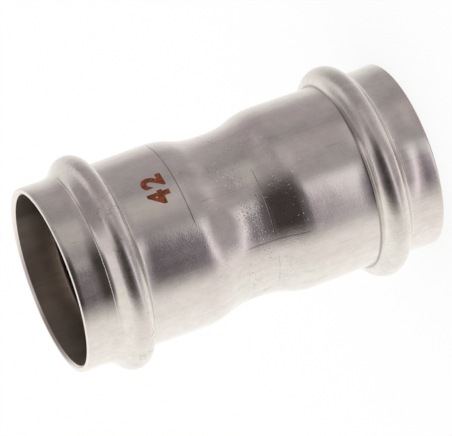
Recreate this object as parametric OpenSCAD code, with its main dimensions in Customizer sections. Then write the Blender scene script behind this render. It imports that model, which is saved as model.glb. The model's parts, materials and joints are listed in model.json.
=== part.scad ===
// Straight press-fit coupling for thin-walled steel pipe.
// One length of stainless tube is formed into two equal sockets that meet at a
// narrower throat. Each socket has a short guide collar at its mouth, then a
// hollow bead that holds a rubber sealing ring, then a straight stretch that ends
// at a shoulder, where the pipe stops. The coupling stands on its lower mouth,
// with the pipe axis along Z and the origin in the middle of that mouth.

/* [Pipe] */
// Outside diameter of the pipe that each socket takes
pipe_d = 42; // [28:1:76]
// Play between the pipe and the socket's bore, on the radius
pipe_play = 0.2; // [0.1:0.05:0.4]

/* [Body] */
// Wall thickness of the formed tube
wall = 1.5; // [1:0.1:2]
// Straight depth of each socket, from its mouth to the start of the shoulder
socket_depth = 32.6; // [26:0.1:60]
// Height of the shoulder that stops the pipe, on the radius
stop_step = 2.35; // [1.5:0.05:4]
// Outside bend radius where the socket turns into the shoulder
shoulder_r = 13; // [5:0.5:20]
// Outside bend radius where the shoulder runs out into the throat
throat_r = 20; // [8:0.5:40]
// Straight length of the throat between the two shoulders
throat_length = 2.2; // [0.5:0.1:20]

/* [Bead] */
// Distance from a mouth to the middle of its bead
bead_pos = 13; // [10:0.1:17]
// Wall left in the bead, where forming thins the tube
crest_wall = 1.3; // [0.8:0.05:2]
// Outside radius of the crease at the foot of each flank
crease_r = 0.5; // [0.3:0.1:1]
// Slope of the bead's flank on the collar's side
collar_flank = 43; // [36:1:70]
// Outside radius of the bow that lifts the collar towards the bead
collar_bow_r = 16; // [8:0.5:20]
// Slope that the collar's bow reaches at the bead
collar_bow_angle = 15; // [6:1:18]
// Slope of the bead's flank on the socket's side
socket_flank = 70; // [50:1:75]
// Outside radius of the bow that lifts the socket towards the bead
socket_bow_r = 25; // [10:0.5:40]
// Slope that the socket's bow reaches at the bead
socket_bow_angle = 5; // [3:0.5:10]

/* [Mouth] */
// Rounding of each mouth's outer edge
rim_r = 0.3; // [0.1:0.05:0.35]
// Depth of the lead-in bevel inside each mouth
lead_depth = 0.6; // [0.3:0.05:2]
// Width of the lead-in bevel, on the radius
lead_width = 0.45; // [0.1:0.05:0.6]

/* [Sealing ring] */
// Thickness of the sealing ring's round section
ring_section = 4; // [3:0.1:5]
// Play between the pipe and the inside of the ring, on the radius
ring_play = 0.05; // [0.02:0.01:0.15]
// Gap between the ring and the bead's crest, on the radius
seat_gap = 0.05; // [0.02:0.01:0.15]
// Extra radius of the groove's section over the ring's section
groove_play = 0.2; // [0.16:0.01:0.5]

/* [Hidden] */
$fn = 96;

steel = "#b4aca6";
rubber = "#1c1c1c";

// Largest angle that one straight step of an arc may cover
arc_step = 5;

// Radii of the straight socket, inside and outside
bore_r = pipe_d / 2 + pipe_play;
socket_r = bore_r + wall;

// The ring sets the groove, and the groove sets the bead
ring_r = pipe_d / 2 + ring_play + ring_section / 2;
groove_crest = ring_r + ring_section / 2 + seat_gap;
groove_r = ring_section / 2 + groove_play;
groove_centre = groove_crest - groove_r;
bead_r = groove_r + crest_wall;

// The shoulder and the throat bend are two arcs that meet at the same slope
shoulder_angle = acos(1 - stop_step / (shoulder_r + throat_r));
shoulder_run = (shoulder_r + throat_r) * sin(shoulder_angle);
body_length = 2 * (socket_depth + shoulder_run) + throat_length;

// Points along an arc about a centre, from one angle to another
function arc(centre, r, from, to) =
    let (steps = max(2, ceil(abs(to - from) / arc_step)))
    [for (i = [0 : steps])
        let (a = from + (to - from) * i / steps)
        centre + r * [cos(a), sin(a)]];

// A path in the other order
function reversed(path) = [for (i = [len(path) - 1 : -1 : 0]) path[i]];

// A path of the lower half carried over to the upper half, in running order
function upper_half(path) =
    [for (p = reversed(path)) [p[0], body_length - p[1]]];

// One side of the bead, drawn as on the collar's side: from the straight wall up a
// bow and round a crease to the foot of a straight flank. The skin lies the given
// inset inside the outer surface, and its bead is rounded to the given radius.
function bead_side(inset, round_r, flank, bow_r, bow_angle) =
    let (bow = bow_r + inset,
         crease = crease_r + inset,
         foot_r = socket_r - inset + bow * (1 - cos(bow_angle)),
         flank_r = foot_r + crease * (cos(bow_angle) - cos(flank)),
         flank_length = (groove_centre + round_r * cos(flank) - flank_r) / sin(flank),
         flank_z = bead_pos - round_r * sin(flank) - flank_length * cos(flank),
         foot_z = flank_z - crease * (sin(flank) - sin(bow_angle)))
    concat(
        arc([socket_r - inset + bow, foot_z - bow * sin(bow_angle)], bow, 180, 180 - bow_angle),
        arc([flank_r + crease * cos(flank), flank_z - crease * sin(flank)], crease,
            180 - bow_angle, 180 - flank));

// A path turned over about the middle of the bead
function past_bead(path) =
    [for (p = reversed(path)) [p[0], 2 * bead_pos - p[1]]];

// The skin of the lower half from the collar over the bead up to the throat
function skin(inset, round_r) =
    concat(
        bead_side(inset, round_r, collar_flank, collar_bow_r, collar_bow_angle),
        arc([groove_centre, bead_pos], round_r, -collar_flank, socket_flank),
        past_bead(bead_side(inset, round_r, socket_flank, socket_bow_r, socket_bow_angle)),
        arc([socket_r - shoulder_r, socket_depth], shoulder_r - inset, 0, shoulder_angle),
        arc([socket_r - stop_step + throat_r, socket_depth + shoulder_run],
            throat_r + inset, 180 + shoulder_angle, 180));

// Wall of the tube, cut along its axis
module wall_section() {
    outer = concat(arc([socket_r - rim_r, rim_r], rim_r, -90, 0),
                   skin(0, bead_r));
    inner = concat([[bore_r + lead_width, 0], [bore_r, lead_depth]],
                   skin(wall, groove_r));
    polygon(concat(outer, upper_half(outer),
                   reversed(concat(inner, upper_half(inner)))));
}

// The formed tube: one piece with a collar, a bead and a socket at each end
module coupling_body() {
    color(steel)
        rotate_extrude()
            wall_section();
}

// A round-section sealing ring that lies in a bead at the given height
module sealing_ring(height) {
    color(rubber)
        rotate_extrude()
            translate([ring_r, height])
                circle(d = ring_section);
}

module lower_sealing_ring() {
    sealing_ring(bead_pos);
}

module upper_sealing_ring() {
    sealing_ring(body_length - bead_pos);
}

coupling_body();
lower_sealing_ring();
upper_sealing_ring();
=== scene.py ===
import json
import math

import bpy
from mathutils import Matrix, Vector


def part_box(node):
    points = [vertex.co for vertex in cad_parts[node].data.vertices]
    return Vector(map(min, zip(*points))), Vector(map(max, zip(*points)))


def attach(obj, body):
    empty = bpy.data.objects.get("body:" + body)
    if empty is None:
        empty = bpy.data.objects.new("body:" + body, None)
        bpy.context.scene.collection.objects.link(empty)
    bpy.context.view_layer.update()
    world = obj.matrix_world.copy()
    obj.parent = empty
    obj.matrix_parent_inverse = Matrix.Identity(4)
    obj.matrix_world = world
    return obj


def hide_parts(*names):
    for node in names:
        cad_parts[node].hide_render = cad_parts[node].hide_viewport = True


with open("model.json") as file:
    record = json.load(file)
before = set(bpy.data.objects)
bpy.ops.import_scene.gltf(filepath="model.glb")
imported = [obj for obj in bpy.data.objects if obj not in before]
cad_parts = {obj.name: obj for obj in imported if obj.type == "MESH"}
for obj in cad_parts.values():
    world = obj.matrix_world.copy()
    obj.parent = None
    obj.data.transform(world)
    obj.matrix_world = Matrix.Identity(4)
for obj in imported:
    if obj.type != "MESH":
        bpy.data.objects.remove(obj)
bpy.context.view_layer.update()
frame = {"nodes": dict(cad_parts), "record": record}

# Lengths are in metres and angles in degrees. Angles round the axis run from the front to the right.
MM = 0.001

# Sizes that the frame gives
socket = next(m for m in frame["record"]["mounts"] if m["name"] == "lower_socket")
bore_r = socket["dims"]["r_mm"] * MM
crest_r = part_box("coupling_body")[1].x
body_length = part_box("coupling_body")[1].z
ring_low, ring_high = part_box("lower_sealing_ring")
bead_pos = (ring_low.z + ring_high.z) / 2
ring_outer_r = ring_high.x

# Sizes of the formed tube
wall = 1.5 * MM
seat_gap = 0.05 * MM
groove_r = 2.2 * MM
crease_r = 0.5 * MM
neck_angle = 1.2
stop_step = 2.35 * MM
shoulder_r = 15.5 * MM
throat_r = 20 * MM
throat_length = 2.2 * MM
rim_r = 0.3 * MM
lead_depth = 0.6 * MM
lead_width = 0.45 * MM

# Sides of a bead: a bow lifts the wall to a crease at the foot of a straight flank
socket_side = {
    "flank": 70,
    "crease_r": crease_r,
    "bow_r": 25 * MM,
    "bow_angle": 5,
}
inner_collar_side = {
    "flank": 50,
    "crease_r": crease_r,
    "bow_r": 16 * MM,
    "bow_angle": 15,
}

# Outside, each collar also sets its bead's crown, opens towards its mouth and is eased at the edge
upper_collar = {
    "crown_r": 3.5 * MM,
    "crown_shift": 0,
    "flank": 47,
    "crease_r": 2.5 * MM,
    "bow_r": 10.5 * MM,
    "bow_angle": 15,
    "flare_r": 40 * MM,
    "flare_angle": 1.3,
    "ease_r": 5 * MM,
    "ease_angle": 14,
}
lower_collar = {
    "crown_r": 3.8 * MM,
    "crown_shift": 0.25 * MM,
    "flank": 56,
    "crease_r": 1.2 * MM,
    "bow_r": 13 * MM,
    "bow_angle": 15,
    "flare_r": 22 * MM,
    "flare_angle": 4.9,
    "ease_r": 44 * MM,
    "ease_angle": 3.4,
}

# Sizes that follow from these
socket_r = bore_r + wall
half_length = body_length / 2
shoulder_angle = math.degrees(math.acos(1 - stop_step / (shoulder_r + throat_r)))
shoulder_run = (shoulder_r + throat_r) * math.sin(math.radians(shoulder_angle))
socket_depth = half_length - throat_length / 2 - shoulder_run

# Fineness of the spun tube: steps round it, longest step of a run, and angle of one step in a bend
steps_around = 192
run_step = 1.6 * MM
neck_step = 0.1
flare_step = 0.5
ease_step = 1.0
bow_step = 1.5
throat_step = 2.0
round_step = 3
tight_step = 8
inner_crease_step = 10
rim_step = 15

# Distance within which its points merge, and the sharpest angle that is shaded smooth
weld = 0.002 * MM
smooth_angle = 35

# Faces of the cut edges: how deep into a mouth they lie, and how far along the axis they point
edge_depth = 1.01 * lead_depth
edge_pointing = 0.7

# Places of the bore's and the edges' finishes in the tube's list
bore_finish = 1
edge_finish = 2

# Place and size of the pipe-size mark on the upper socket
mark_text = "42"
mark_height = 5.0 * MM
mark_z = 65.1 * MM
mark_turn = 30.5
mark_lift = 0.2 * MM

# Its figures: how finely they are cut, how they are set, and the film of ink that they become
mark_weld = 0.001 * MM
mark_cuts = 3
text_size_per_height = 1.42
figure_spacing = 1.3
figure_boldness = 0.34 * MM
ink_lift = 0.02 * MM
ink_thickness = 1.5 * ink_lift

# Fine lines that the forming tools left: height, half width, first and last angle, and depth of tone
line_half = 0.13 * MM
line_ease = 4
tool_lines = (
    (60.3 * MM, 1.5 * line_half, 3, 75, 1.0),
    (42.0 * MM, 1.2 * line_half, -22, 23, 0.85),
    (42.0 * MM, line_half, -62, -36, 0.5),
)

# Spans of the lines in the creases
all_round = (-190, 190)
lower_front = (-18, 34)
upper_front = (16, 70)

# Dark lines painted lengthwise along the throat where its dark reflection ends: angle and half width in
# degrees, both ends, and depth of tone
reflection_edge_ease = 1.0 * MM
reflection_edge_lines = (
    (-25.6, 1.0, 34 * MM, 49 * MM, 0.5),
    (14.0, 0.6, 44 * MM, 57 * MM, 0.2),
)

# How far into a crease its lines of painted shade and painted highlight lie
crease_offset = 0.1 * MM

# Middle of the pitted stretch at the throat, and the share of the dents that the lower bead has
pitted_z = 46.2 * MM
lower_dents = 0.3

# Distances over which pits come in towards that middle, speckle towards the throat and dents towards a bead
pitted_reach = (4.5 * MM, 1.5 * MM)
speckled_reach = (24 * MM, 8 * MM)
dented_reach = (4.0 * MM, 2.0 * MM)

# Angles over which painted shade in the bore and a painted brown reflection on the rims come and go, and
# their depths
painted_shade_from = (50, 80)
painted_shade_to = (127, 134)
painted_shade_depth = 0.6
rim_reflection_from = (-178, -155)
rim_reflection_to = (-128, -104)
rim_reflection_depth = 0.7

# Colours of the finishes
steel_shade = (0.715, 0.68, 0.646, 1)
steel_light = (0.835, 0.80, 0.764, 1)
warm_tinge = (1.012, 0.99, 1.0, 1)
cool_tinge = (0.984, 1.006, 0.99, 1)
# Dark of wear, also used for the painted shade in the creases and the painted reflection edges
dark_of_wear_and_shade = (0.16, 0.13, 0.12, 1)
bore_shade = (0.54, 0.48, 0.42, 1)
bore_light = (0.64, 0.57, 0.505, 1)
# Painted shade in the bore
painted_bore_shade = (0.25, 0.20, 0.17, 1)
edge_shade = (0.86, 0.815, 0.765, 1)
edge_light = (0.92, 0.875, 0.825, 1)
# Painted brown reflection on the rims
painted_rim_reflection = (0.42, 0.36, 0.33, 1)
rubber_shade = (0.012, 0.012, 0.012, 1)
rubber_light = (0.03, 0.029, 0.028, 1)
ink_shade = (0.11, 0.022, 0.006, 1)
ink_light = (0.24, 0.052, 0.013, 1)
paper_white = (0.98, 0.98, 0.98, 1)
full_white = (1, 1, 1, 1)

# Camera, in the part's frame, with its lens and sensor in millimetres
camera_right = (-0.3400, -0.2614, -0.9034)
camera_up = (0.9404, -0.0945, -0.3266)
camera_back = (0.0, -0.9606, 0.2780)
camera_place = (-0.00021, -0.76506, 0.26769)
camera_lens = 267.84
sensor_width = 36
nearest_view = 0.01

# Reach of the floor and of the cards around the part, and how bright they are
floor_half = 1.5
paper_glow = 0.85
studio_r = 0.6
studio_segments = 96
card_strength = 0.94

# The pale stretch of the camera's side leans about one azimuth: elevations between which each lean
# comes in, and how much it grows
lean_from = -20
upper_lean = (-6, -14, 0, 0.085)
lower_lean = (-20, -27, 0, 0.12)

# Light of the camera's side: elevation and colour
camera_side_stops = (
    (-90, (0.62, 0.55, 0.56)),
    (-75, (0.50, 0.45, 0.46)),
    (-58, (0.44, 0.40, 0.41)),
    (-44, (0.43, 0.39, 0.405)),
    (-38, (0.47, 0.43, 0.45)),
    (-33, (0.62, 0.565, 0.60)),
    (-29, (0.88, 0.81, 0.845)),
    (-26, (1.02, 0.945, 0.98)),
    (-23, (1.00, 0.92, 0.96)),
    (-21.5, (0.78, 0.70, 0.74)),
    (-19.5, (0.50, 0.445, 0.48)),
    (-16.8, (0.37, 0.33, 0.365)),
    (-14, (0.26, 0.232, 0.265)),
    (-12, (0.175, 0.156, 0.178)),
    (-10, (0.14, 0.123, 0.136)),
    (-5.5, (0.15, 0.131, 0.136)),
    (-1.5, (0.105, 0.09, 0.091)),
    (4, (0.06, 0.05, 0.048)),
    (24, (0.056, 0.046, 0.044)),
    (34, (0.095, 0.08, 0.079)),
    (46, (0.16, 0.138, 0.138)),
    (56, (0.27, 0.238, 0.248)),
    (64, (0.45, 0.405, 0.425)),
    (70, (0.70, 0.635, 0.66)),
    (76, (0.90, 0.825, 0.855)),
    (84, (1.00, 0.925, 0.955)),
)

# Edges of the camera's side in azimuth. The right one wanders: each part gives two elevations and the
# azimuths there, and the parts add up
camera_side_left = (-73, -36)
right_edge_from = (
    (-15, -10, -16, -6),
    (-10, 0, 0, 9),
    (46, 60, 0, 38),
    (-30, -45, 0, 22),
)
right_edge_to = (
    (-15, -10, 14, 24),
    (-10, 0, 0, 14),
    (0, 20, 0, 10),
    (46, 60, 0, 32),
    (-30, -45, 0, 26),
)

# Light of the grey right side: its ends in azimuth, then elevation and colour
grey_side_left = (-10, 15)
grey_side_right = (106, 156)
grey_side_stops = (
    (-90, (0.95, 0.885, 0.885)),
    (-70, (0.86, 0.79, 0.795)),
    (-55, (0.62, 0.56, 0.57)),
    (-35, (0.465, 0.42, 0.43)),
    (-16, (0.44, 0.40, 0.41)),
    (-3, (0.40, 0.36, 0.37)),
    (12, (0.43, 0.385, 0.395)),
    (26, (0.50, 0.455, 0.465)),
    (38, (0.43, 0.38, 0.395)),
    (50, (0.34, 0.30, 0.313)),
    (66, (0.35, 0.305, 0.32)),
    (80, (0.52, 0.475, 0.495)),
    (90, (0.76, 0.70, 0.73)),
)

# Upright strips of the grey side: where they end in elevation, then azimuth and level
strips_end = (-2, 8)
strip_stops = (
    (18, 0.98),
    (30, 0.90),
    (40, 0.97),
    (50, 1.1),
    (60, 1.0),
    (70, 0.86),
    (82, 0.95),
    (96, 1.04),
)

# Cards with soft edges: ends in azimuth and in elevation, and colour
low_card = {
    "left": (20, 36),
    "right": (50, 64),
    "low": (-21, -14),
    "high": (-2, 8),
    "colour": (0.555, 0.505, 0.495, 1),
}
small_card = {
    "left": (72, 90),
    "right": (122, 146),
    "low": (8, 22),
    "high": (31, 42),
    "colour": (0.80, 0.755, 0.75, 1),
}
top_card = {
    "left": (2, 24),
    "right": (40, 58),
    "low": (29, 47),
    "high": (91, 92),
    "colour": (0.77, 0.705, 0.715, 1),
}

# White light of the other sides: in general, on the left, and low down and high up on the far right
main_white = (1.12, 1.10, 1.08, 1)
left_white = (0.925, 0.885, 0.855, 1)
far_low_white = (0.98, 0.955, 0.93, 1)
far_high_white = (0.56, 0.53, 0.52, 1)

# Ends of the left and of the far right in azimuth, and elevations over which the far right grows duller
left_from = (-130, -60)
left_to = (-40, -20)
far_right_from = (60, 90)
far_right_to = (150, 178)
far_high_from = (28, 44)


# Drawing a section

class Pen:
    """Draws a line in the XZ plane by pulling one point along runs and bends."""

    def __init__(self, name, x, z, heading):
        bpy.ops.object.select_all(action="DESELECT")
        bpy.ops.mesh.primitive_plane_add(size=MM, location=(0, 0, 0))
        self.piece = bpy.context.object
        self.piece.name = name
        self.x = x
        self.z = z
        self.heading = heading
        bpy.ops.object.mode_set(mode="EDIT")
        bpy.ops.mesh.select_all(action="SELECT")
        bpy.ops.mesh.merge(type="CENTER")
        bpy.ops.transform.translate(value=(x, 0, z))

    def run(self, length):
        """Goes straight on, in equal steps."""
        cuts = max(1, math.ceil(length / run_step))
        turn = math.radians(self.heading)
        dx = math.cos(turn) * length / cuts
        dz = math.sin(turn) * length / cuts
        for _ in range(cuts):
            bpy.ops.mesh.extrude_vertices_move(TRANSFORM_OT_translate={"value": (dx, 0, dz)})
        self.x += dx * cuts
        self.z += dz * cuts

    def bend(self, radius, angle, step):
        """Goes round an arc, to the left for a positive angle."""
        side = math.radians(self.heading + math.copysign(90, angle))
        centre_x = self.x + radius * math.cos(side)
        centre_z = self.z + radius * math.sin(side)
        cuts = max(2, math.ceil(abs(angle) / step))
        bpy.ops.mesh.spin(
            steps=cuts,
            angle=math.radians(angle),
            center=(centre_x, 0, centre_z),
            axis=(0, 1, 0),
        )
        self.heading += angle
        back = math.radians(self.heading - math.copysign(90, angle))
        self.x = centre_x + radius * math.cos(back)
        self.z = centre_z + radius * math.sin(back)


def bead_side(side, inset, round_r):
    """Length of a bead's straight flank, and how far from the bead's middle its bow starts."""
    flank = math.radians(side["flank"])
    bow_angle = math.radians(side["bow_angle"])
    bow = side["bow_r"] + inset
    crease = side["crease_r"] + inset
    crest = ring_outer_r + seat_gap if inset else crest_r
    foot_r = socket_r - inset + bow * (1 - math.cos(bow_angle))
    flank_r = foot_r + crease * (math.cos(bow_angle) - math.cos(flank))
    length = (crest - round_r + round_r * math.cos(flank) - flank_r) / math.sin(flank)
    foot = round_r * math.sin(flank) + length * math.cos(flank)
    start = foot + crease * (math.sin(flank) - math.sin(bow_angle)) + bow * math.sin(bow_angle)
    return length, start


def draw_outside(pen, collar):
    """From the throat over the shoulder and along the socket, then over the bead to the collar."""
    crown_r = collar["crown_r"]
    crown_pos = bead_pos - collar["crown_shift"]
    flank = socket_side["flank"]
    bow_r = socket_side["bow_r"]
    bow_angle = socket_side["bow_angle"]
    length, start = bead_side(socket_side, 0, crown_r)
    pen.run(throat_length / 2)
    pen.bend(throat_r, shoulder_angle, throat_step)
    pen.bend(shoulder_r, -shoulder_angle, throat_step)
    neck = socket_depth - crown_pos - start - bow_r * math.sin(math.radians(neck_angle))
    pen.bend(neck / math.radians(neck_angle), -neck_angle, neck_step)
    pen.bend(bow_r, bow_angle + neck_angle, bow_step)
    dip = socket_r + bow_r * (1 - math.cos(math.radians(bow_angle))) - pen.x
    pen.bend(socket_side["crease_r"], flank - bow_angle, tight_step)
    pen.run(length + dip / math.sin(math.radians(flank)))
    pen.bend(crown_r, -flank - collar["flank"], round_step)
    pen.run(bead_side(collar, 0, crown_r)[0])
    pen.bend(collar["crease_r"], collar["flank"] - collar["bow_angle"], round_step)
    pen.bend(collar["bow_r"], collar["bow_angle"], bow_step)


def draw_mouth(pen, collar):
    """Along the collar to its eased edge, round the rim and in over the lead-in bevel."""
    flare = math.radians(collar["flare_angle"])
    edge = math.radians(collar["flare_angle"] - collar["ease_angle"])
    pen.bend(collar["flare_r"], collar["flare_angle"], flare_step)
    drop = collar["ease_r"] * (math.sin(flare) - math.sin(edge)) + rim_r * (1 + math.sin(edge))
    pen.run((pen.z + half_length - drop) / math.cos(flare))
    pen.bend(collar["ease_r"], -collar["ease_angle"], ease_step)
    pen.bend(rim_r, -90 - math.degrees(edge), rim_step)
    pen.run(pen.x - bore_r - lead_width)
    pen.heading = math.degrees(math.atan2(lead_depth, -lead_width))
    pen.run(math.hypot(lead_depth, lead_width))


def draw_inside(pen):
    """Up the bore, round the sealing ring's groove and on to the throat."""
    flank = inner_collar_side["flank"]
    bow_angle = inner_collar_side["bow_angle"]
    length, start = bead_side(inner_collar_side, wall, groove_r)
    pen.heading = 90
    pen.run(bead_pos - half_length - start - pen.z)
    pen.bend(inner_collar_side["bow_r"] + wall, -bow_angle, round_step)
    pen.bend(inner_collar_side["crease_r"] + wall, bow_angle - flank, tight_step)
    pen.run(length)
    pen.bend(groove_r, flank + socket_side["flank"], tight_step)

    flank = socket_side["flank"]
    bow_angle = socket_side["bow_angle"]
    length, start = bead_side(socket_side, wall, groove_r)
    pen.run(length)
    pen.bend(socket_side["crease_r"] + wall, bow_angle - flank, inner_crease_step)
    pen.bend(socket_side["bow_r"] + wall, -bow_angle, round_step)
    pen.run(socket_depth - bead_pos - start)
    pen.bend(shoulder_r - wall, shoulder_angle, round_step)
    pen.bend(throat_r + wall, -shoulder_angle, round_step)
    pen.run(throat_length / 2)


# The formed tube

def weld_points(distance):
    """Merges the points of the piece in edit mode that lie together, and leaves all selected."""
    bpy.ops.mesh.select_all(action="SELECT")
    bpy.ops.mesh.remove_doubles(threshold=distance)


def spin_half(name, collar):
    """One half of the tube: its wall, drawn from the middle to the mouth and back, spun round the axis."""
    pen = Pen(name, socket_r - stop_step, 0, -90)
    draw_outside(pen, collar)
    draw_mouth(pen, collar)
    draw_inside(pen)
    bpy.ops.mesh.select_all(action="SELECT")
    bpy.ops.mesh.spin(
        steps=steps_around,
        angle=math.tau,
        center=(0, 0, 0),
        axis=(0, 0, 1),
    )
    weld_points(weld)
    return pen.piece


def make_tube():
    """The formed tube: a lower half and a turned-over upper half, joined at the throat."""
    upper = spin_half("upper_half", upper_collar)
    bpy.ops.transform.resize(value=(1, 1, -1), center_override=(0, 0, 0))
    bpy.ops.object.mode_set(mode="OBJECT")
    tube = spin_half("coupling_tube", lower_collar)
    bpy.ops.object.mode_set(mode="OBJECT")
    upper.select_set(True)
    bpy.ops.object.join()
    bpy.ops.object.mode_set(mode="EDIT")
    weld_points(weld)
    bpy.ops.transform.translate(value=(0, 0, half_length))
    bpy.ops.mesh.normals_make_consistent(inside=False)
    bpy.ops.object.mode_set(mode="OBJECT")
    bpy.ops.object.shade_smooth_by_angle(angle=math.radians(smooth_angle))
    return tube


def finish_tube(tube):
    """Pickled steel outside, a dull bore, and bright cut edges at the mouths."""
    tube.data.materials.clear()
    for material in (pickled_steel(), dull_bore(), cut_edge()):
        tube.data.materials.append(material)
    for face in tube.data.polygons:
        middle = face.center
        facing = face.normal.x * middle.x + face.normal.y * middle.y
        at_mouth = middle.z < edge_depth or middle.z > body_length - edge_depth
        if facing < 0:
            face.material_index = edge_finish if at_mouth else bore_finish
        elif at_mouth and abs(face.normal.z) > edge_pointing:
            face.material_index = edge_finish


# The pipe-size mark

def write_mark():
    """The pipe size as flat figures that stand just off the upper socket."""
    turn = math.radians(mark_turn)
    stand_off = socket_r + mark_lift
    bpy.ops.object.select_all(action="DESELECT")
    bpy.ops.object.text_add(
        location=(stand_off * math.sin(turn), -stand_off * math.cos(turn), mark_z),
        rotation=(math.pi / 2, 0, turn),
    )
    mark = bpy.context.object
    mark.name = "pipe_size_mark"
    mark.data.body = mark_text
    mark.data.align_x = "CENTER"
    mark.data.align_y = "CENTER"
    mark.data.size = mark_height * text_size_per_height
    mark.data.space_character = figure_spacing
    mark.data.offset = figure_boldness
    bpy.ops.object.convert(target="MESH")
    bpy.ops.object.transform_apply(location=True, rotation=True, scale=True)
    bpy.ops.object.mode_set(mode="EDIT")
    weld_points(mark_weld)
    bpy.ops.mesh.subdivide(number_cuts=mark_cuts)
    bpy.ops.object.mode_set(mode="OBJECT")
    return mark


def lay_ink(mark, tube):
    """Pulls the figures onto the tube as a thin film that follows its curve."""
    bpy.ops.object.modifier_add(type="SHRINKWRAP")
    wrap = mark.modifiers[-1]
    wrap.target = tube
    wrap.wrap_method = "NEAREST_SURFACEPOINT"
    wrap.offset = ink_lift
    bpy.ops.object.modifier_apply(modifier=wrap.name)
    bpy.ops.object.modifier_add(type="SOLIDIFY")
    film = mark.modifiers[-1]
    film.thickness = ink_thickness
    film.offset = -1
    bpy.ops.object.modifier_apply(modifier=film.name)
    bpy.ops.object.mode_set(mode="EDIT")
    bpy.ops.mesh.select_all(action="SELECT")
    bpy.ops.mesh.normals_make_consistent(inside=False)
    bpy.ops.object.mode_set(mode="OBJECT")


# Building a material's nodes

def new_material(name):
    """A material with an empty node tree."""
    material = bpy.data.materials.new(name)
    material.use_nodes = True
    material.node_tree.nodes.clear()
    return material, material.node_tree


def add_node(tree, kind, inputs=None, **settings):
    """A node with its settings, and with its inputs linked or set."""
    made = tree.nodes.new(kind)
    for name, value in settings.items():
        setattr(made, name, value)
    for key, value in (inputs or {}).items():
        if isinstance(value, bpy.types.NodeSocket):
            tree.links.new(value, made.inputs[key])
        else:
            made.inputs[key].default_value = value
    return made


def finish_with(tree, kind, inputs):
    """Adds the shader that the material shows."""
    shader = add_node(tree, kind, inputs)
    add_node(tree, "ShaderNodeOutputMaterial", {"Surface": shader.outputs[0]})


def object_place(tree):
    """Place on the piece."""
    return add_node(tree, "ShaderNodeTexCoord").outputs["Object"]


def split_place(tree, place):
    """The three coordinates of a place."""
    return add_node(tree, "ShaderNodeSeparateXYZ", {0: place}).outputs


def maths(tree, operation, first, second=0.0, third=0.0, clamp=False):
    """The result of one Math node."""
    made = add_node(
        tree, "ShaderNodeMath",
        {0: first, 1: second, 2: third},
        operation=operation, use_clamp=clamp,
    )
    return made.outputs[0]


def product(tree, first, *others):
    """The product of values."""
    for other in others:
        first = maths(tree, "MULTIPLY", first, other)
    return first


def scaled_sum(tree, parts):
    """The sum of values, each times its own share."""
    total = 0.0
    for value, share in parts:
        total = maths(tree, "MULTIPLY_ADD", value, share, total)
    return total


def apart(tree, value, middle):
    """How far a value lies from a middle, to either side."""
    return maths(tree, "ABSOLUTE", maths(tree, "SUBTRACT", value, middle))


def fade(tree, value, start, end, low=0.0, high=1.0):
    """A smooth change from low to high as the value goes from start to end."""
    made = add_node(
        tree, "ShaderNodeMapRange",
        {0: value, 1: start, 2: end, 3: low, 4: high},
        interpolation_type="SMOOTHSTEP",
    )
    return made.outputs[0]


def span(tree, value, rise, fall, clamp=False):
    """One between two soft edges: the value fades in over the first pair and out over the second."""
    return maths(tree, "SUBTRACT", fade(tree, value, *rise), fade(tree, value, *fall), clamp=clamp)


def ramp(tree, value, stops):
    """A colour ramp over the given stops, each a place and a colour."""
    made = add_node(tree, "ShaderNodeValToRGB", {0: value})
    points = made.color_ramp.elements
    while len(points) < len(stops):
        points.new(1.0)
    for point, (place, colour) in zip(points, stops):
        point.position = place
        point.color = (*colour, 1.0)
    return made.outputs[0]


def mixed(tree, share, first, second):
    """A mix of two colours."""
    return add_node(tree, "ShaderNodeMix", {0: share, 6: first, 7: second}, data_type="RGBA").outputs[2]


def multiplied(tree, first, second):
    """Two colours multiplied."""
    return add_node(tree, "ShaderNodeVectorMath", {0: first, 1: second}, operation="MULTIPLY").outputs[0]


def noise(tree, place, scale, detail=3.0, rough=0.5, stretch=(1, 1, 1)):
    """Noise over a stretched place."""
    mapped = add_node(tree, "ShaderNodeMapping", {"Vector": place, "Scale": stretch})
    made = add_node(
        tree, "ShaderNodeTexNoise",
        {"Vector": mapped.outputs[0], "Scale": scale, "Detail": detail, "Roughness": rough},
    )
    return made.outputs[0]


def bump(tree, height, strength=1.0, depth=MM):
    """Slopes of a fine relief."""
    made = add_node(tree, "ShaderNodeBump", {"Height": height, "Strength": strength, "Distance": depth})
    return made.outputs[0]


def compass(tree, split):
    """Angle round the axis, from the front to the right."""
    towards = maths(tree, "MULTIPLY", split[1], -1.0)
    return maths(tree, "MULTIPLY", maths(tree, "ARCTAN2", split[0], towards), 180 / math.pi)


# Finishes of the tube

def thin_lines(tree, across, along, lines, ease):
    """The sum of thin lines, each at its own place across and between its own ends along."""
    total = 0.0
    for middle, half_width, first, last, depth in lines:
        line = fade(tree, apart(tree, across, middle), half_width, 0.0)
        length = span(tree, along, (first - ease, first + ease), (last - ease, last + ease))
        total = maths(tree, "MULTIPLY_ADD", product(tree, line, length), depth, total)
    return total


def crease_reach(side, crown_r):
    """How far from its crown's middle a bead's outside has the crease of one side."""
    return bead_side(side, 0, crown_r)[1] - side["bow_r"] * math.sin(math.radians(side["bow_angle"]))


def creases(collar):
    """Distances from a mouth to the creases before and after its bead."""
    crown_pos = bead_pos - collar["crown_shift"]
    before = crown_pos - crease_reach(collar, collar["crown_r"])
    after = crown_pos + crease_reach(socket_side, collar["crown_r"])
    return before + crease_offset, after - crease_offset


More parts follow.
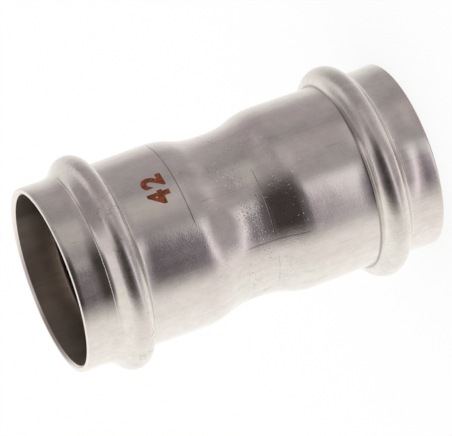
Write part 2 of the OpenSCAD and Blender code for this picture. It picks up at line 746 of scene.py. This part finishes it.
def crease_lines(tree, up, around):
    """Painted shade as dark lines, and painted highlights as paler lines, in the creases beside the beads.
    """
    lower_outside, lower_inside = creases(lower_collar)
    upper_outside, upper_inside = (body_length - distance for distance in creases(upper_collar))
    painted_crease_shade = thin_lines(tree, up, around, [
        (lower_outside, line_half, *lower_front, 0.35),
        (lower_inside - 1.8 * line_half, 2.2 * line_half, *all_round, 0.85),
        (upper_inside + 0.6 * MM, 5 * line_half, *all_round, 0.6),
        (upper_outside - 2 * line_half, 1.5 * line_half, *upper_front, 0.6),
    ], line_ease)
    painted_highlights = thin_lines(tree, up, around, [
        (lower_outside - 2 * line_half, line_half, *lower_front, 0.4),
        (lower_inside - 4.4 * line_half, 1.3 * line_half, -50, 12, 0.5),
        (upper_inside - 2 * line_half, line_half, *all_round, 0.25),
        (upper_outside, line_half, -70, 14, 0.8),
        (upper_outside + line_half, line_half, *upper_front, 0.3),
    ], line_ease)
    return painted_crease_shade, painted_highlights


def pits_and_painted_glints(tree, place, up, patches, speckled):
    """Small dark pits round the throat, and pale flecks on the speckled stretches, which are painted
    glints.
    """
    cells = add_node(tree, "ShaderNodeTexVoronoi", {"Vector": place, "Scale": 1900}).outputs
    chosen = add_node(tree, "ShaderNodeSeparateColor", {0: cells["Color"]}).outputs[0]
    dots = fade(tree, cells["Distance"], 0.38, 0.20)
    throat = fade(tree, apart(tree, up, pitted_z), *pitted_reach)
    strewn = fade(tree, patches, 0.0, 1.0, 0.45, 1.0)
    pits = product(tree, throat, strewn, fade(tree, chosen, 0.48, 0.58), dots)
    # Painted glints: pale flecks
    painted_glints = product(tree, dots, speckled, fade(tree, chosen, 0.24, 0.08))
    return pits, painted_glints


def pickled_steel():
    """Satin stainless steel, drawn lengthwise, with the marks that forming left, painted shade and painted
    highlights in the creases, painted glints, and dark lines painted where its dark reflection ends.
    """
    material, tree = new_material("pickled_steel")
    place = object_place(tree)
    split = split_place(tree, place)
    up = split[2]
    around = compass(tree, split)

    # Texture of the drawn and pickled tube
    waves = noise(tree, place, 110, detail=1)
    dapple = noise(tree, place, 420, detail=3, rough=0.6)
    grain = noise(tree, place, 2900, detail=1, rough=0.5)
    drawn = noise(tree, place, 1, detail=3, stretch=(1100, 1100, 35))
    bands = noise(tree, place, 1, detail=2, stretch=(380, 380, 14))
    scuffs = fade(tree, noise(tree, place, 1, detail=2, stretch=(900, 900, 110)), 0.68, 0.78)
    nicks = fade(tree, noise(tree, place, 1, detail=2, stretch=(320, 320, 1500)), 0.71, 0.80)

    # Forming left the shoulders speckled and the beads dented in places
    from_middle = apart(tree, up, half_length)
    shoulders = fade(tree, from_middle, *speckled_reach)
    beads = fade(tree, apart(tree, from_middle, half_length - bead_pos), *dented_reach)
    patches = fade(tree, noise(tree, place, 190, detail=2), 0.42, 0.64)
    speckled = product(tree, shoulders, patches)
    speckle = product(tree, grain, speckled)
    specks = product(tree, fade(tree, grain, 0.58, 0.70), speckled)
    pits, painted_glints = pits_and_painted_glints(tree, place, up, patches, speckled)
    more_above = fade(tree, up, bead_pos, body_length - bead_pos, lower_dents, 1.0)
    dents = fade(tree, noise(tree, place, 1500, detail=1), 0.56, 0.68)
    dents = product(tree, dents, beads, patches, more_above)

    # Lines round the tube and along it: tool marks, dark lines painted where the dark reflection ends, and
    # painted shade and painted highlights in the creases
    breaks = fade(tree, noise(tree, place, 160, detail=2), 0.30, 0.45)
    tool_marks = product(tree, thin_lines(tree, up, around, tool_lines, line_ease), breaks)
    painted_reflection_edges = thin_lines(tree, around, up, reflection_edge_lines, reflection_edge_ease)
    painted_crease_shade, painted_highlights = crease_lines(tree, up, around)
    # Tool marks together with the painted shade in the creases
    lines = maths(tree, "MAXIMUM", tool_marks, painted_crease_shade)
    # Painted highlights in the creases, with the painted glints added
    painted_highlights = maths(tree, "MULTIPLY_ADD", painted_glints, 0.45, painted_highlights)

    height = scaled_sum(tree, [
        (waves, 0.05),
        (dapple, 0.011),
        (grain, 0.007),
        (speckle, 0.015),
        (dents, -0.012),
        (drawn, 0.0035),
        (pits, -0.03),
        (lines, -0.02),
        (scuffs, -0.003),
        (nicks, -0.003),
    ])
    tone = scaled_sum(tree, [(dapple, 0.35), (drawn, 0.2), (bands, 0.2), (grain, 0.25)])
    colour = mixed(tree, fade(tree, tone, 0.35, 0.65), steel_shade, steel_light)
    clouds = fade(tree, noise(tree, place, 75, detail=3), 0.38, 0.62)
    tinge = mixed(tree, clouds, warm_tinge, cool_tinge)
    # Wear, together with the painted crease shade and the painted reflection edges, darkens the steel
    wear_and_painted_shade = scaled_sum(tree, [
        (scuffs, 0.12),
        (nicks, 0.14),
        (specks, 0.4),
        (dents, 0.36),
        (lines, 0.75),
        (painted_reflection_edges, 1.0),
        (pits, 0.4),
    ])
    colour = mixed(tree, wear_and_painted_shade, multiplied(tree, colour, tinge), dark_of_wear_and_shade)
    gloss = fade(tree, tone, 0.3, 0.7, 0.10, 0.19)
    # Where painted highlights and glints lie, the metal turns to a pale non-metal
    finish_with(tree, "ShaderNodeBsdfPrincipled", {
        "Base Color": colour,
        "Metallic": maths(tree, "SUBTRACT", 1.0, painted_highlights, clamp=True),
        "Roughness": maths(tree, "MULTIPLY_ADD", beads, 0.09, gloss),
        "Normal": bump(tree, height),
    })
    return material


def dull_bore():
    """The tube's inside: steel left dull and brownish by the mill, with painted shade on one side."""
    material, tree = new_material("dull_bore")
    place = object_place(tree)
    dapple = noise(tree, place, 300, detail=3, rough=0.6)
    drawn = noise(tree, place, 1, detail=2, stretch=(900, 900, 40))
    tone = scaled_sum(tree, [(dapple, 0.5), (drawn, 0.5)])
    colour = mixed(tree, fade(tree, tone, 0.35, 0.65), bore_shade, bore_light)
    # Painted shade on one side of the bore
    painted_shade_share = span(tree, compass(tree, split_place(tree, place)), painted_shade_from, painted_shade_to)
    colour = mixed(tree, product(tree, painted_shade_share, painted_shade_depth), colour, painted_bore_shade)
    height = scaled_sum(tree, [(dapple, 0.01), (drawn, 0.006)])
    finish_with(tree, "ShaderNodeBsdfPrincipled", {
        "Base Color": colour,
        "Metallic": 1.0,
        "Roughness": 0.42,
        "Normal": bump(tree, height),
    })
    return material


def cut_edge():
    """Cut steel at the mouths, bright and fine-turned, with a painted brown reflection on one stretch."""
    material, tree = new_material("cut_edge")
    place = object_place(tree)
    turned = noise(tree, place, 1, detail=2, stretch=(300, 300, 4000))
    colour = mixed(tree, turned, edge_shade, edge_light)
    # A painted brown reflection on one stretch of the rims
    rim_reflection_share = span(tree, compass(tree, split_place(tree, place)), rim_reflection_from, rim_reflection_to)
    colour = mixed(tree, product(tree, rim_reflection_share, rim_reflection_depth), colour, painted_rim_reflection)
    finish_with(tree, "ShaderNodeBsdfPrincipled", {
        "Base Color": colour,
        "Metallic": 1.0,
        "Roughness": 0.38,
    })
    return material


# Finishes of the sealing rings and of the mark

def black_rubber():
    """Dull black rubber with a faint grain."""
    material, tree = new_material("black_rubber")
    grain = noise(tree, object_place(tree), 1800, detail=3)
    finish_with(tree, "ShaderNodeBsdfPrincipled", {
        "Base Color": mixed(tree, grain, rubber_shade, rubber_light),
        "Roughness": 0.5,
        "Normal": bump(tree, grain, strength=0.3, depth=0.02 * MM),
    })
    return material


def orange_ink():
    """Orange-brown marking ink, thin in places."""
    material, tree = new_material("orange_ink")
    patches = fade(tree, noise(tree, object_place(tree), 1500, detail=4, rough=0.65), 0.35, 0.65)
    finish_with(tree, "ShaderNodeBsdfPrincipled", {
        "Base Color": mixed(tree, patches, ink_shade, ink_light),
        "Roughness": 0.55,
        "Specular IOR Level": 0.25,
    })
    return material


# Finishes of the stage

def white_paper():
    """White paper that looks pale and keeps a soft shadow."""
    material, tree = new_material("white_paper")
    path = add_node(tree, "ShaderNodeLightPath").outputs
    seen = maths(tree, "MAXIMUM", path["Is Camera Ray"], path["Is Glossy Ray"])
    seen = maths(tree, "MAXIMUM", seen, path["Is Transmission Ray"])
    paper = add_node(tree, "ShaderNodeBsdfDiffuse", {"Color": paper_white})
    glow = add_node(tree, "ShaderNodeEmission", {"Color": full_white, "Strength": 1.0})
    finish_with(tree, "ShaderNodeMixShader", {
        0: product(tree, seen, paper_glow),
        1: paper.outputs[0],
        2: glow.outputs[0],
    })
    material.cycles.emission_sampling = "NONE"
    return material


def by_height(stops):
    """Stops over elevation, turned to places on a ramp."""
    return [((elevation + 90) / 180, colour) for elevation, colour in stops]


def camera_side(tree, azimuth, elevation, height):
    """Light of the camera's side: dark, with a pale stretch that leans across it low down."""
    turned = maths(tree, "MULTIPLY_ADD", azimuth, -1 / 180, lean_from / 180)
    lean = maths(tree, "ADD", fade(tree, elevation, *upper_lean), fade(tree, elevation, *lower_lean))
    leaning = maths(tree, "MULTIPLY_ADD", turned, lean, height)
    return ramp(tree, leaning, by_height(camera_side_stops))


def camera_side_share(tree, azimuth, elevation):
    """One on the camera's side, whose right edge wanders with the elevation."""
    right = []
    for parts in (right_edge_from, right_edge_to):
        right.append(scaled_sum(tree, [(fade(tree, elevation, *part), 1) for part in parts]))
    return span(tree, azimuth, camera_side_left, right, clamp=True)


def with_card(tree, light, card, azimuth, elevation):
    """The light with one soft-edged card before it."""
    share = product(
        tree,
        span(tree, azimuth, card["left"], card["right"]),
        span(tree, elevation, card["low"], card["high"]),
    )
    return mixed(tree, share, light, card["colour"])


def grey_side(tree, azimuth, elevation, height):
    """Light of the right side: grey, with upright strips low down and two paler cards."""
    light = ramp(tree, height, by_height(grey_side_stops))
    strips = ramp(tree, maths(tree, "MULTIPLY_ADD", azimuth, 1 / 360, 0.5), [
        (0.5 + angle / 360, (level, level, level)) for angle, level in strip_stops
    ])
    strips = mixed(tree, fade(tree, elevation, *strips_end), strips, full_white)
    light = multiplied(tree, light, strips)
    light = with_card(tree, light, low_card, azimuth, elevation)
    return with_card(tree, light, small_card, azimuth, elevation)


def white_cards(tree, azimuth, elevation):
    """Light of the other sides: white, a little duller on the left, and duller high up on the far right."""
    on_left = span(tree, azimuth, left_from, left_to)
    light = mixed(tree, on_left, main_white, left_white)
    far_right = span(tree, azimuth, far_right_from, far_right_to)
    high_up = fade(tree, elevation, *far_high_from)
    return mixed(tree, far_right, light, mixed(tree, high_up, far_low_white, far_high_white))


def studio_cards():
    """What the metal mirrors: white cards, a grey right side, the dark camera side and a card above."""
    material, tree = new_material("studio_cards")
    along = add_node(tree, "ShaderNodeVectorMath", {0: object_place(tree)}, operation="NORMALIZE")
    split = split_place(tree, along.outputs[0])
    azimuth = compass(tree, split)
    elevation = maths(tree, "MULTIPLY", maths(tree, "ARCSINE", split[2]), 180 / math.pi)
    height = maths(tree, "MULTIPLY_ADD", elevation, 1 / 180, 0.5)
    light = white_cards(tree, azimuth, elevation)
    grey_share = span(tree, azimuth, grey_side_left, grey_side_right, clamp=True)
    light = mixed(tree, grey_share, light, grey_side(tree, azimuth, elevation, height))
    dark_share = camera_side_share(tree, azimuth, elevation)
    light = mixed(tree, dark_share, light, camera_side(tree, azimuth, elevation, height))
    light = with_card(tree, light, top_card, azimuth, elevation)
    finish_with(tree, "ShaderNodeEmission", {"Color": light, "Strength": card_strength})
    material.cycles.emission_sampling = "NONE"
    return material


def dress(piece, material):
    """Gives a piece one material."""
    piece.data.materials.clear()
    piece.data.materials.append(material)


# Stage

def make_floor():
    """A plain white floor under the standing part, which reflections don't see."""
    bpy.ops.object.select_all(action="DESELECT")
    bpy.ops.mesh.primitive_plane_add(size=2 * floor_half, location=(0, 0, 0))
    floor = bpy.context.object
    floor.name = "floor"
    floor.visible_glossy = False
    dress(floor, white_paper())


def make_studio():
    """Cards all round, which only reflections see."""
    bpy.ops.object.select_all(action="DESELECT")
    bpy.ops.mesh.primitive_uv_sphere_add(
        segments=studio_segments,
        ring_count=studio_segments // 2,
        radius=studio_r,
        location=(0, 0, half_length),
    )
    studio = bpy.context.object
    studio.name = "studio_cards"
    studio.visible_camera = False
    studio.visible_diffuse = False
    studio.visible_shadow = False
    dress(studio, studio_cards())


def light_room():
    """Even white light from everywhere."""
    world = bpy.data.worlds.new("white_room")
    world.use_nodes = True
    background = world.node_tree.nodes["Background"]
    background.inputs["Color"].default_value = full_white
    background.inputs["Strength"].default_value = 1.0
    bpy.context.scene.world = world


def set_camera():
    """The photograph's view of the part."""
    bpy.ops.object.camera_add()
    camera = bpy.context.object
    turn = Matrix((camera_right, camera_up, camera_back)).transposed()
    camera.matrix_world = Matrix.Translation(camera_place) @ turn.to_4x4()
    camera.data.sensor_width = sensor_width
    camera.data.lens = camera_lens
    camera.data.clip_start = nearest_view
    bpy.context.scene.camera = camera


# The part

tube = make_tube()
finish_tube(tube)
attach(tube, "root")
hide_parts("coupling_body")

mark = write_mark()
lay_ink(mark, tube)
dress(mark, orange_ink())
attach(mark, "root")

rubber = black_rubber()
for ring in ("lower_sealing_ring", "upper_sealing_ring"):
    dress(frame["nodes"][ring], rubber)

make_floor()
make_studio()
light_room()
set_camera()
bpy.context.scene.view_settings.view_transform = "Standard"
